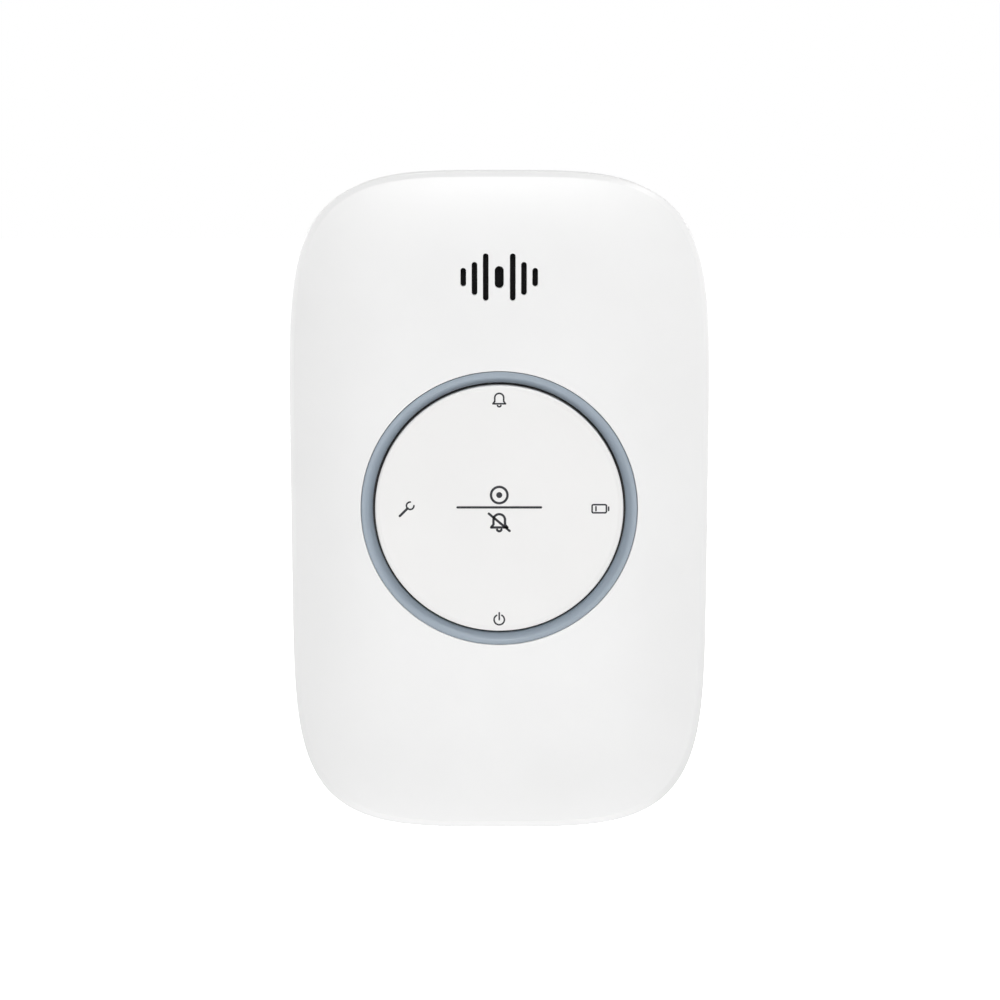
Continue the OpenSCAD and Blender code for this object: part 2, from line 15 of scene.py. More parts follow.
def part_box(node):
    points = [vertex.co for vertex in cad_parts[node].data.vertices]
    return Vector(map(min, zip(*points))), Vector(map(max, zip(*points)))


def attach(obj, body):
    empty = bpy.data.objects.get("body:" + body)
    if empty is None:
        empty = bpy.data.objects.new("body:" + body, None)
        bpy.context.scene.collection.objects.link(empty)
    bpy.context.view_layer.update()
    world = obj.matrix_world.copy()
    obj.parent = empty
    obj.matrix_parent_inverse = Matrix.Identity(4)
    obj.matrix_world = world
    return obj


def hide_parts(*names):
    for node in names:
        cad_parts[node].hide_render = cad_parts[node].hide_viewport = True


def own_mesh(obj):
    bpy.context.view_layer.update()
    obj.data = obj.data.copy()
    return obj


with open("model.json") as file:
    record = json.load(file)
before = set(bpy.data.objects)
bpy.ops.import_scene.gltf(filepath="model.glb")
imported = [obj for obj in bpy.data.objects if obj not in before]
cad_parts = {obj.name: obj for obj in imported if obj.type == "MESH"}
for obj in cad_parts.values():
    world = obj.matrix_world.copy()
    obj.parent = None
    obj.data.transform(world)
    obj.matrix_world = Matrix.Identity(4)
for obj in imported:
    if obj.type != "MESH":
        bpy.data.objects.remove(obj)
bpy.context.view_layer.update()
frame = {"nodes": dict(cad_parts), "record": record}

MM = 0.001


def node_box(node):
    """A CAD node's lowest and highest corners, in millimetres."""
    low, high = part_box(node)
    return low / MM, high / MM


# ---------------------------------------------------------------- sizes, in millimetres

cover_low, cover_high = node_box("front_cover")
plate_low, plate_high = node_box("wall_plate")
door_low, door_high = node_box("battery_door")
label_low, label_high = node_box("door_label")
ring_low, ring_high = node_box("light_ring")
button_low, button_high = node_box("button_cap")
spring_low, spring_high = node_box("button_springs")
link_low, _ = node_box("contact_link")
_, minus_high = node_box("negative_contact")

SIDE_POWER = 3.8            # squareness of the outline across its width
END_POWER = 5.8             # and along its height
DRAFT = 0.35                # how far the cover widens from its front rim to its back rim
HALF_W = cover_high.x - DRAFT
HALF_H = cover_high.z - DRAFT
FRONT_Y = cover_low.y
COVER_BACK_Y = cover_high.y
WALL = 2.2                  # thickness of both halves of the case
CROWN = 2.1                 # fall of the front face from its middle to its crease
CROWN_POWER = 6             # flat in the middle, falling only near the crease
BEVEL = 1.1                 # from the outline to the crease of the front face
BEVEL_DEPTH = 0.7
CREASE_LIFT = 0.3           # the crease sits this much high, so the bevel is widest at the bottom
OPENING_R = 25.2            # round opening that the light ring fills

SLOT_Z = 42.05              # middle of the sound slots and of the sounder behind them
SLOT_W, SLOT_PITCH = 1.0, 2.01
MIDDLE_SLOT_W, MIDDLE_SLOT_H, MIDDLE_PITCH = 1.6, 3.95, 2.42
SIDE_SLOTS = ((8.45, 0), (5.9, 0.25), (3.3, 0))     # height and drop of each pair, going outwards
DUCT_R, DUCT_WALL = 8.6, 1.6

BUTTON_LIP = 0.08           # height of the lip round the button's face
SKIRT_BACK_Y = -27.6        # back edge of the button's skirt
LEG_BACK_Y = -24.1          # back of the button's snap legs
SPRING_CIRCLE_R, SPRING_R, SPRING_WIRE_R = 16.5, 2.2, 0.25
SPRING_LEN = spring_high.y - spring_low.y

REAR_STEP = 0.1             # the rear case stands in from the cover's rim
REAR_TAPER = 1.5            # and narrows by this much on its way to the wall
REAR_BACK_Y = -0.5
REAR_RIM_Y = -12.8
RECESS_Y = -3.2             # floor that the wall plate lies against
RECESS_W, RECESS_H = 31.6, 54.1     # half sizes of the recess for the wall plate
REAR_FLOOR_Y = -5.2         # the same floor's inner face
BAY_W, BAY_LOW_Z, BAY_HIGH_Z = 15.4, -27.5, 29.5    # half width and ends of the battery bay
BAY_WALL = 1.2
BAY_FRONT_Y = -19.7
BOSS_X, BOSS_Z = 25.5, 44.5         # the four case screws
GUIDE_BOSS_XZ = 21.2                # the four screws that hold the button's guide
SCREW_HEAD_R = 2.7
VENT_PITCH, VENT_Y, VENT_HALF_W = 3, -8.4, 0.6

PLATE_FRONT_Y = -2.4
HOOK_X, HOOK_W, HOOK_FRONT_Y = 25, 5, -7.2
HOOK_ZS = (33, -24)         # bottom edges of the plate's hooks
LIFT = 5                    # how far the detector slides up to leave them
WALL_SCREW_Z, WALL_SCREW_R = 45, 2.2

DOOR_HALF_W, DOOR_LOW_Z, DOOR_HINGE_Z = 16.5, -28.7, 30.2
DOOR_THICK, DOOR_GAP = 1.6, 0.2
HINGE_HALF_W, HINGE_R = 17.8, 0.8

CELL_X, CELL_Y = 7.75, -12.2
CELL_R, CELL_LEN, NUB_R, NUB_H = 7.25, 49.2, 2.75, 1.3
FILM_BAND_Z = 36            # where a cell's two colours meet, from its flat end

OVAL_POINTS = 240
ROUND_POINTS = 144
FINE_ROUND_POINTS = 240     # for the ring and the button, which are seen close up
HOLE_POINTS = 48


# ---------------------------------------------------------------- outlines

def squared_oval(half_w, half_h, count=OVAL_POINTS):
    """Evenly spaced points round the housing's squared oval."""
    t = np.linspace(0, math.pi / 2, 4000)
    x = half_w * np.cos(t) ** (2 / SIDE_POWER)
    z = half_h * np.sin(t) ** (2 / END_POWER)
    along = np.concatenate([[0], np.cumsum(np.hypot(np.diff(x), np.diff(z)))])
    step = np.linspace(0, along[-1], count // 4 + 1)
    quarter = np.column_stack([np.interp(step, along, x), np.interp(step, along, z)])
    quarter[0] = half_w, 0
    quarter[-1] = 0, half_h
    there, back = quarter[:-1], quarter[:0:-1]
    return np.concatenate([there, back * (-1, 1), -there, back * (1, -1)])


def circle(x, z, r, count=ROUND_POINTS):
    """Points round a circle, anticlockwise from +x."""
    t = np.linspace(0, 2 * math.pi, count, endpoint=False)
    return np.column_stack([x + r * np.cos(t), z + r * np.sin(t)])


def slot(x, z, half_w, half_straight, steps=12):
    """An upright slot with round ends."""
    t = np.linspace(0, math.pi, steps + 1)
    top = np.column_stack([x + half_w * np.cos(t), z + half_straight + half_w * np.sin(t)])
    return np.concatenate([top, (2 * x, 2 * z) - top])


def rounded_box(x0, x1, z0, z1, r, steps=5):
    """A rectangle with round corners, anticlockwise from its top right corner."""
    corners = [(x1 - r, z1 - r, 0), (x0 + r, z1 - r, 1), (x0 + r, z0 + r, 2), (x1 - r, z0 + r, 3)]
    points = []
    for x, z, turn in corners:
        for i in range(steps + 1):
            a = (turn + i / steps) * math.pi / 2
            points.append((x + r * math.cos(a), z + r * math.sin(a)))
    return np.array(points)


def filleted(corners, steps=5):
    """A profile through (a, b, radius) corners, each corner rounded to its radius."""
    points = [corners[0][:2]]
    for before, here, after in zip(corners, corners[1:], corners[2:]):
        p, r = Vector(here[:2]), here[2]
        u = (Vector(before[:2]) - p).normalized()
        v = (Vector(after[:2]) - p).normalized()
        half = u.angle(v) / 2
        nearly_straight = half > 1.55
        if r == 0 or nearly_straight:
            points.append(tuple(p))
            continue
        centre = p + (u + v).normalized() * (r / math.sin(half))
        reach = r / math.tan(half)
        start, end = p + u * reach - centre, p + v * reach - centre
        for i in range(steps + 1):
            arm = start.lerp(end, i / steps).normalized() * r
            points.append(tuple(centre + arm))
    points.append(corners[-1][:2])
    return points


# ---------------------------------------------------------------- meshes

def inside(loop, x, z):
    """Whether a point lies in a closed loop."""
    ax, az = loop[:, 0], loop[:, 1]
    bx, bz = np.roll(ax, -1), np.roll(az, -1)
    spans = (az > z) != (bz > z)
    rise = np.where(bz == az, 1, bz - az)
    return bool(np.count_nonzero(spans & (x < (bx - ax) * (z - az) / rise + ax)) % 2)


def spread(outline, holes, step):
    """Points of a triangular grid that lie in an outline and clear of its edge and holes."""
    low, high = outline.min(0), outline.max(0)
    walls = np.concatenate([outline, *holes])
    points = []
    for row, z in enumerate(np.arange(low[1], high[1], step * math.sqrt(3) / 2)):
        for x in np.arange(low[0] + (row % 2) * step / 2, high[0], step):
            near = np.hypot(walls[:, 0] - x, walls[:, 1] - z).min()
            if near > step * 0.6 and inside(outline, x, z):
                if not any(inside(hole, x, z) for hole in holes):
                    points.append((x, z))
    return points


def at_y(loop, y):
    """A flat loop as 3-D points at one depth, or at a depth for each point."""
    ys = y * np.ones(len(loop))
    return [(p[0], d, p[1]) for p, d in zip(loop, ys)]


class Shell:
    """Collects closed surfaces of one mesh, in millimetres, and welds their patches together."""

    def __init__(self):
        self.verts = []
        self.faces = []

    def add(self, verts, faces):
        """Adds faces, whose corners count from the first of the given vertices."""
        base = len(self.verts)
        self.verts.extend(tuple(v) for v in verts)
        self.faces.extend([base + i for i in face] for face in faces)

    def strip(self, loops, closed=False):
        """Quads between neighbouring loops of 3-D points. Every loop has the same count."""
        n, rows = len(loops[0]), len(loops)
        pairs = [(j, (j + 1) % rows) for j in range(rows if closed else rows - 1)]
        faces = [(j * n + i, j * n + (i + 1) % n, k * n + (i + 1) % n, k * n + i)
                 for j, k in pairs for i in range(n)]
        self.add([p for loop in loops for p in loop], faces)

    def patch(self, outline, holes, lift, step=0.0):
        """Triangles inside an outline and outside its holes, raised to y = lift(x, z)."""
        flat, edges = [], []
        for loop in (outline, *holes):
            base, n = len(flat), len(loop)
            flat.extend(Vector(p) for p in loop)
            edges.extend((base + i, base + (i + 1) % n) for i in range(n))
        if step:
            flat.extend(Vector(p) for p in spread(outline, holes, step))
        verts, _, tris, *_ = geometry.delaunay_2d_cdt(flat, edges, [], 0, 1e-6)
        keep = []
        for tri in tris:
            x, z = sum((verts[i] for i in tri), Vector((0, 0))) / 3
            if inside(outline, x, z) and not any(inside(hole, x, z) for hole in holes):
                keep.append(tri)
        used = sorted({i for tri in keep for i in tri})
        place = {old: new for new, old in enumerate(used)}
        xz = np.array([tuple(verts[i]) for i in used])
        ys = lift(xz[:, 0], xz[:, 1]) * np.ones(len(xz))
        self.add([(p[0], y, p[1]) for p, y in zip(xz, ys)],
                 [[place[i] for i in tri] for tri in keep])

    def swapped(self, order):
        """Re-orders the axes of everything added so far, such as "xzy"."""
        picks = ["xyz".index(c) for c in order]
        self.verts = [tuple(v[i] for i in picks) for v in self.verts]
        return self

    def join(self, other):
        self.add(other.verts, other.faces)

    def build(self, name):
        """Makes the object, in metres, with its patches welded and its faces turned outwards."""
        mesh = bpy.data.meshes.new(name)
        mesh.from_pydata([[c * MM for c in v] for v in self.verts], [], self.faces)
        work = bmesh.new()
        work.from_mesh(mesh)
        bmesh.ops.remove_doubles(work, verts=work.verts, dist=0.0005 * MM)
        bmesh.ops.dissolve_degenerate(work, edges=work.edges, dist=0.0001 * MM)
        bmesh.ops.recalc_face_normals(work, faces=work.faces)
        work.to_mesh(mesh)
        work.free()
        piece = bpy.data.objects.new(name, mesh)
        bpy.context.scene.collection.objects.link(piece)
        smooth(piece)
        return piece


def smooth(piece):
    """Smooth shading that keeps real edges, with large faces setting the direction."""
    piece.data.shade_smooth()
    piece.data.set_sharp_from_angle(angle=math.radians(40))
    even = piece.modifiers.new("even_shading", "WEIGHTED_NORMAL")
    even.keep_sharp = True


def turned(shell, profile, u=0.0, v=0.0, axis="y", count=ROUND_POINTS):
    """Adds a closed body of revolution from (radius, along) points, about a line through (u, v)."""
    body = [p for p in profile if p[0] > 0]
    order = {"y": "xyz", "z": "xzy", "x": "yxz"}[axis]
    part = Shell()
    loops = [at_y(circle(u, v, r, count), along) for r, along in body]
    part.strip(loops, closed=len(body) == len(profile))
    for end in (0, -1):
        if profile[end][0] == 0:
            part.add([*loops[end], (u, profile[end][1], v)],
                     [(i, (i + 1) % count, count) for i in range(count)])
    shell.join(part.swapped(order))


def soft_edge(front_y, back_y, r, side):
    """(offset, y) steps over an edge of radius r. side is 1 for a hole and -1 for an outline."""
    steps = [(side * r * (1 - math.sin(a)), r * (1 - math.cos(a)))
             for a in np.linspace(0, math.pi / 2, 5)]
    return ([(d, front_y + h) for d, h in steps]
            + [(d, back_y - h) for d, h in reversed(steps)])


def slab(shell, outline, holes, front_y, back_y, edge=0.3, step=0.0):
    """Adds a flat plate with rounded edges. outline and each hole's shape take an offset outwards.

    A hole is (shape, steps), its steps being (offset, y) pairs from the front to the back.
    """
    rims = [(outline, soft_edge(front_y, back_y, edge, -1)), *holes]
    for shape, steps in rims:
        shell.strip([at_y(shape(d), y) for d, y in steps])
    for end, y in ((0, front_y), (-1, back_y)):
        flat = [shape(steps[end][0]) for shape, steps in rims]
        shell.patch(flat[0], flat[1:], lambda x, z: y, step)


def hole(shape, front_y, back_y, edge=0.15):
    """A hole with rounded rims, as slab() takes it."""
    return shape, soft_edge(front_y, back_y, edge, 1)


def block(shell, x, y, z, edge=0.15):
    """Adds a box with rounded edges, given as three (low, high) pairs."""
    r = min(edge, (x[1] - x[0]) / 4, (y[1] - y[0]) / 4, (z[1] - z[0]) / 4)
    slab(shell, lambda d: rounded_box(x[0] - d, x[1] + d, z[0] - d, z[1] + d, 1.5 * r + d, 3),
         [], y[0], y[1], r)


def tube(shell, x, z, y0, y1, outer_r, bore_r, edge=0.15, count=HOLE_POINTS):
    """Adds a sleeve along Y with rounded rims."""
    turned(shell, [(bore_r + d, y) for d, y in soft_edge(y0, y1, edge, 1)]
           + [(outer_r + d, y) for d, y in reversed(soft_edge(y0, y1, edge, -1))],
           x, z, count=count)


def wire_coil(shell, place, r0, r1, length, turns, wire_r, steps=28, sides=10):
    """Adds a spring of round wire. place maps (across, up, along) to a point."""
    n = turns * steps
    rings = []
    for i in range(n + 1):
        a, r = 2 * math.pi * i / steps, r0 + (r1 - r0) * i / n
        along = wire_r + (length - 2 * wire_r) * i / n
        ring = []
        for k in range(sides):
            b = 2 * math.pi * k / sides
            out = r + wire_r * math.cos(b)
            ring.append(place(out * math.cos(a), out * math.sin(a), along + wire_r * math.sin(b)))
        rings.append(ring)
    shell.strip(rings)
    for ring in (rings[0], rings[-1]):
        shell.add(ring, [tuple(range(sides))])


def cut(piece, cutter):
    """Subtracts one piece from another for good."""
    slice_out = piece.modifiers.new("cut", "BOOLEAN")
    slice_out.object = cutter
    slice_out.solver = "EXACT"
    piece.modifiers.move(len(piece.modifiers) - 1, 0)
    piece.modifiers.remove(piece.modifiers["even_shading"])
    shape = piece.evaluated_get(bpy.context.evaluated_depsgraph_get())
    mesh = bpy.data.meshes.new_from_object(shape)
    piece.modifiers.clear()
    piece.data = mesh
    bpy.data.objects.remove(cutter)
    smooth(piece)


# ---------------------------------------------------------------- front cover

CREASE_W = HALF_W - BEVEL
CREASE_H = HALF_H - BEVEL


def crown_radius(x, z):
    """0 at the middle of the face and 1 at its crease, along squared ovals."""
    x, z = np.abs(x) / CREASE_W, np.abs(z - CREASE_LIFT) / CREASE_H
    low, high = np.full(np.shape(x), 1e-4), np.full(np.shape(x), 1.5)
    for _ in range(40):
        middle = (low + high) / 2
        out = (x / middle) ** SIDE_POWER + (z / middle) ** END_POWER > 1
        low, high = np.where(out, middle, low), np.where(out, high, middle)
    return (low + high) / 2


def face_y(x, z):
    """Depth of the crowned front face."""
    return FRONT_Y + CROWN * crown_radius(x, z) ** CROWN_POWER


def case_oval(inset):
    """The outline at the cover's front rim, drawn in by an inset."""
    return squared_oval(HALF_W - inset, HALF_H - inset)


def crown_oval(share):
    """The crease's outline, shrunk to a share of its size."""
    return squared_oval(CREASE_W * share, CREASE_H * share) + (0, CREASE_LIFT)


def on_face(loop, behind=0.0):
    """A flat loop laid on the crowned face, or at a depth behind it."""
    return at_y(loop, face_y(loop[:, 0], loop[:, 1]) + behind)


def sound_slots():
    """The seven slots as functions of an offset: the middle one, then three on each side."""
    shapes = [(0, SLOT_Z, MIDDLE_SLOT_W, MIDDLE_SLOT_H)]
    for side in (-1, 1):
        for i, (height, drop) in enumerate(SIDE_SLOTS):
            shapes.append((side * (MIDDLE_PITCH + SLOT_PITCH * i), SLOT_Z - drop, SLOT_W, height))
    return [lambda d, x=x, z=z, w=w, h=h: slot(x, z, w / 2 + d, (h - w) / 2)
            for x, z, w, h in shapes]


def make_cover():
    """The front cover: side wall, bevel, crowned face with its openings, and bosses inside."""
    shell = Shell()
    crease_y = FRONT_Y + CROWN
    rim_y = crease_y + BEVEL_DEPTH
    shoulder = BEVEL + 0.5              # where the crease's rounding meets the crown

    # Side wall, bevel and crease, as (inset from the outline, y), then the crown's outer part.
    side = filleted([(WALL - DRAFT, COVER_BACK_Y, 0), (-DRAFT, COVER_BACK_Y, 0.25),
                     (0, rim_y + 0.2, 0.7), (BEVEL, crease_y, 0.8),
                     (shoulder, crease_y - 0.14, 0)])
    loops = []
    for inset, y in side[:-1]:
        lift = CREASE_LIFT * min(1, max(0, inset / BEVEL))
        loops.append(at_y(case_oval(inset) + (0, lift), y))
    loops.append(on_face(case_oval(shoulder) + (0, CREASE_LIFT)))
    shares = (0.967, 0.951, 0.933, 0.914, 0.892, 0.867, 0.84)
    loops += [on_face(crown_oval(share)) for share in shares]
    shell.strip(loops)

    # Front and inner faces, with the round opening and the slots.
    cuts = [(lambda d: circle(0, 0, OPENING_R + d, FINE_ROUND_POINTS), 0.15)]
    cuts += [(shape, 0.07) for shape in sound_slots()]
    outline = crown_oval(shares[-1])
    holes = [shape(r) for shape, r in cuts]
    shell.patch(outline, holes, face_y, step=1.6)
    shell.patch(outline, holes, lambda x, z: face_y(x, z) + WALL, step=3.0)
    for shape, r in cuts:
        turns = np.linspace(0, math.pi / 2, 7)
        walls = [on_face(shape(r * (1 - math.sin(a))), r * (1 - math.cos(a))) for a in turns]
        shell.strip([*walls, on_face(shape(0), WALL), on_face(shape(r), WALL)])

    # Inner skin, back to the rim.
    skin = [on_face(crown_oval(share), WALL) for share in (shares[-1], 0.9, 0.95, 0.975)]
    skin += [at_y(case_oval(WALL), rim_y + 1.5), at_y(case_oval(WALL - DRAFT), COVER_BACK_Y)]
    shell.strip(skin)

    # Screw bosses and the sounder's duct.
    inner_y = FRONT_Y + WALL
    for sx in (-1, 1):
        for sz in (-1, 1):
            tube(shell, sx * BOSS_X, sz * BOSS_Z, inner_y + 0.4, -22.8, 3.2, 1.25)
            tube(shell, sx * GUIDE_BOSS_XZ, sz * GUIDE_BOSS_XZ, inner_y - 0.2, -28.4, 2.4, 0.9)
    tube(shell, 0, SLOT_Z, inner_y - 0.2, -30.2, DUCT_R + DUCT_WALL, DUCT_R)
    return shell.build("cover_shell")


# ---------------------------------------------------------------- light ring and button

def make_ring():
    """The lens: a land that leans in a little, then a slope that steepens into the button's gap."""
    land_y, back_y = ring_low.y, ring_high.y
    outer, foot, bore, lip = OPENING_R - 0.07, OPENING_R - 0.25, 23.2, 23.08
    flange_r, flange_front, flange_back = 27, FRONT_Y + WALL + 0.45, -29.9
    slope = [(lip + 1.27 * (1 - t), land_y + 0.12 + 1.45 * t ** 1.5) for t in np.linspace(0, 1, 15)]
    shell = Shell()
    # It sits a hair low in the cover's opening, so its gap shows at the top.
    turned(shell, [(foot, back_y), (foot, flange_back), (flange_r, flange_back),
                   (flange_r, flange_front), (outer, flange_front), (outer, land_y + 0.12),
                   (outer - 0.04, land_y + 0.04), (outer - 0.12, land_y), *slope,
                   (lip, land_y + 1.65), (bore, land_y + 1.8), (bore, back_y)],
           v=-0.05, count=FINE_ROUND_POINTS)
    return shell.build("ring_lens")


def make_button():
    """The cap: flat face inside a fine raised lip, skirt, snap legs and a post for the switch."""
    radius, lip_y = button_high.x, button_low.y
    face = lip_y + BUTTON_LIP
    under_y = spring_low.y
    skirt_r, post_r, post_y = 21.3, 2.2, -28.55
    shell = Shell()
    turned(shell, [(0, face), (8, face), (15, face), (21.6, face), (21.85, face - 0.02),
                   (22.05, lip_y + 0.01), (22.2, lip_y), (22.36, lip_y + 0.02),
                   (22.48, lip_y + 0.07), (22.57, lip_y + 0.17), (radius, lip_y + 0.36),
                   (radius, SKIRT_BACK_Y), (skirt_r, SKIRT_BACK_Y), (skirt_r, under_y),
                   (0, under_y)], count=FINE_ROUND_POINTS)
    turned(shell, [(0, under_y - 0.2), (post_r, under_y - 0.2), (post_r, post_y - 0.15),
                   (post_r - 0.15, post_y), (0, post_y)], count=HOLE_POINTS)
    # Three legs, a third of a turn apart, each with its hook: (x, z) is the way that one points.
    for x, z in ((0, 1), (0.866, -0.5), (-0.866, -0.5)):
        leg = Shell()
        block(leg, (19.4, 20.6), (under_y - 0.2, LEG_BACK_Y), (-2.4, 2.4))
        block(leg, (20.4, 21.4), (LEG_BACK_Y - 1, LEG_BACK_Y), (-2.4, 2.4))
        leg.verts = [(p[0] * x - p[2] * z, p[1], p[0] * z + p[2] * x) for p in leg.verts]
        shell.join(leg)
    return shell.build("button_shell")


# ---------------------------------------------------------------- marks printed on the button

def ribbon(shell, points, width, front_y, back_y, closed=False):
    """Adds a thin raised line of even width through flat (x, z) points."""
    p = np.array(points, float)
    ahead, behind = np.roll(p, -1, 0) - p, p - np.roll(p, 1, 0)
    if not closed:
        ahead[-1], behind[0] = behind[-1], ahead[0]
    u = ahead / np.linalg.norm(ahead, axis=1)[:, None]
    v = behind / np.linalg.norm(behind, axis=1)[:, None]
    middle = (u + v) / np.linalg.norm(u + v, axis=1)[:, None]
    across = np.column_stack([-middle[:, 1], middle[:, 0]])
    reach = (width / 2 / np.maximum(0.5, (middle * u).sum(1)))[:, None]
    left, right = p + across * reach, p - across * reach
    if closed:
        rims = [at_y(left, front_y), at_y(right, front_y), at_y(right, back_y), at_y(left, back_y)]
        shell.strip(rims, closed=True)
        return
    caps = []
    for tip, way in ((p[-1], u[-1]), (p[0], -u[0])):
        turn = math.atan2(way[1], way[0])
        a = np.linspace(turn + math.pi / 2, turn - math.pi / 2, 9)[1:-1]
        arm = width / 2 * np.column_stack([np.cos(a), np.sin(a)])
        caps.append(tip + arm)
    loop = np.concatenate([left, caps[0], right[::-1], caps[1]])
    shell.strip([at_y(loop, front_y), at_y(loop, back_y)])
    for y in (front_y, back_y):
        shell.patch(loop, [], lambda x, z: y)


def arc(x, z, r, start, end, steps=24):
    """Points of an arc, its angles in degrees anticlockwise from +x."""
    t = np.radians(np.linspace(start, end, steps + 1))
    return [(x + r * math.cos(a), z + r * math.sin(a)) for a in t]


def bell(x, z, size):
    """A bell: dome and skirt, base line and clapper."""
    dome = arc(x, z + 0.1 * size, 0.3 * size, 180, 0)
    return [[(x - 0.42 * size, z - 0.3 * size), (x - 0.3 * size, z - 0.14 * size), *dome,
             (x + 0.3 * size, z - 0.14 * size), (x + 0.42 * size, z - 0.3 * size)],
            [(x - 0.42 * size, z - 0.3 * size), (x + 0.42 * size, z - 0.3 * size)],
            arc(x, z - 0.38 * size, 0.12 * size, 200, 340, 8)]


def button_marks(face):
    """Plain pictograms in ink: a bell, a power mark, a spanner, a cell, and press over mute."""
    shell = Shell()
    front, back = face - 0.015, face + 0.04         # proud of the face, and sunk into it
    fine, bold, rule = 0.3, 0.44, 0.42
    power_z, press_z, dot_r = -20.5, 2.62, 0.55
    lines = [(line, fine) for line in bell(0, 20.1, 2.7)]
    lines += [(arc(0, power_z, 0.95, 60, -240), fine), ([(0, power_z + 1.3), (0, power_z)], fine)]
    lines += [(arc(-16.2, 0.65, 0.68, 88, 362), fine), ([(-16.68, 0.17), (-18.1, -1.25)], bold)]
    lines += [([(19.9, -0.2), (19.9, 0.4)], fine), ([(17.6, -0.25), (17.6, 0.45)], fine)]
    lines += [([(-7.6, 0.35), (7.6, 0.35)], rule)]
    lines += [(line, bold) for line in bell(0, -2.3, 3.5)]
    lines += [([(-1.9, -0.8), (1.9, -4.0)], bold)]
    for points, width in lines:
        ribbon(shell, points, width, front, back)
    ribbon(shell, rounded_box(16.9, 19.5, -0.65, 0.85, 0.25), fine, front, back, closed=True)
    ribbon(shell, circle(0, press_z, 1.5, 48), bold, front, back, closed=True)
    turned(shell, [(0, front), (dot_r, front), (dot_r, back), (0, back)], 0, press_z, count=32)
    return shell.build("button_marks")


# ---------------------------------------------------------------- rear case

def make_rear():
    """The rear case: tapered wall, rim round the wall plate's recess, vents and battery bay."""
    shell = Shell()
    back = REAR_STEP + REAR_TAPER
    wall = filleted([(REAR_STEP + WALL, REAR_RIM_Y, 0), (REAR_STEP, REAR_RIM_Y, 0.2),
                     (back, -1.6, 1.5), (back + 1, REAR_BACK_Y, 0.6),
                     (back + 2, REAR_BACK_Y, 0)], 4)
    loops = [at_y(case_oval(inset), y) for inset, y in wall]
    for d, y in soft_edge(REAR_BACK_Y, RECESS_Y, 0.25, 1)[:5]:
        loops.append(at_y(squared_oval(RECESS_W + d, RECESS_H + d), 2 * REAR_BACK_Y - y))
    floor_loop = squared_oval(RECESS_W, RECESS_H)
    loops.append(at_y(floor_loop, RECESS_Y))
    shell.strip(loops)

    # The floor's holes: the door's pocket, the hooks' slots and the screws' counterbores.
    pocket = lambda d: rounded_box(door_low.x + 1.1 - d, door_high.x - 1.1 + d,
                                   door_low.z - DOOR_GAP - d, door_high.z + DOOR_GAP + d, 0.6 + d)
    cuts = [pocket]
    slot_half_w = HOOK_W / 2 + 0.3
    for side in (-1, 1):
        for z in HOOK_ZS:
            cuts.append(lambda d, x=side * HOOK_X, z=z: rounded_box(
                x - slot_half_w - d, x + slot_half_w + d,
                z - LIFT - 0.4 - d, z + 2.05 + d, 0.4 + d))
        for z in (-BOSS_Z, BOSS_Z):
            cuts.append(lambda d, x=side * BOSS_X, z=z: circle(x, z, SCREW_HEAD_R + d, HOLE_POINTS))
    inner = case_oval(back + WALL)
    holes = [shape(0.15) for shape in cuts]
    shell.patch(floor_loop, holes, lambda x, z: RECESS_Y)
    shell.patch(inner, holes, lambda x, z: REAR_FLOOR_Y)
    for shape in cuts:
        shell.strip([at_y(shape(d), REAR_FLOOR_Y + RECESS_Y - y)
                     for d, y in soft_edge(REAR_FLOOR_Y, RECESS_Y, 0.15, 1)])
    shell.strip([at_y(inner, REAR_FLOOR_Y), at_y(case_oval(REAR_STEP + WALL), REAR_RIM_Y)])
    case = shell.build("rear_shell")

    vents = Shell()
    for i in range(-4, 5):
        for end in (-1, 1):
            low, high = sorted((end * (HALF_H - 6), end * (HALF_H + 1)))
            part = Shell()
            vent = lambda d: slot(VENT_PITCH * i, VENT_Y, VENT_HALF_W + d, 2.2)
            slab(part, vent, [], low, high, 0.05)
            vents.join(part.swapped("xzy"))
    cut(case, vents.build("vent_cutter"))

    # The bay's walls and floor, the door's frame in two steps, the rib between the cells, the lip
    # that goes into the cover, and the screws' bosses.
    rest = Shell()
    bay = lambda d: rounded_box(-BAY_W - d, BAY_W + d, BAY_LOW_Z - d, BAY_HIGH_Z + d, 0.5 + d)
    outer = lambda d: bay(BAY_WALL + d)
    bay_back_y = REAR_FLOOR_Y + 0.3
    slab(rest, outer, [hole(bay, BAY_FRONT_Y, bay_back_y)], BAY_FRONT_Y, bay_back_y, 0.2)
    slab(rest, outer, [], BAY_FRONT_Y - BAY_WALL, BAY_FRONT_Y, 0.2)
    frame_edge = lambda d: rounded_box(-18.8 - d, 18.8 + d, door_low.z - 2.1 - d,
                                       door_high.z + 1.8 + d, 1 + d)
    for shape, front, behind, edge in ((bay, -6.5, door_low.y - 0.05, 0.2),
                                       (pocket, door_low.y - 0.06, RECESS_Y - 0.02, 0.1)):
        slab(rest, frame_edge, [hole(shape, front, behind)], front, behind, edge)
    block(rest, (-0.4, 0.4), (BAY_FRONT_Y - 0.2, BAY_FRONT_Y + 2),
          (BAY_LOW_Z - 0.2, BAY_HIGH_Z + 0.2))
    lip_steps = ((2.25, -15), (2.25, -11), (3.5, -11), (3.5, -15))
    rest.strip([at_y(case_oval(inset), y) for inset, y in lip_steps], closed=True)
    for sx in (-1, 1):
        for sz in (-1, 1):
            tube(rest, sx * BOSS_X, sz * BOSS_Z, -21.2, -9, 3.6, 1.6)
            tube(rest, sx * BOSS_X, sz * BOSS_Z, -9.2, -4.7, 3.6, SCREW_HEAD_R)
    return case, rest.build("bay_frame")


# ---------------------------------------------------------------- wall plate and battery door

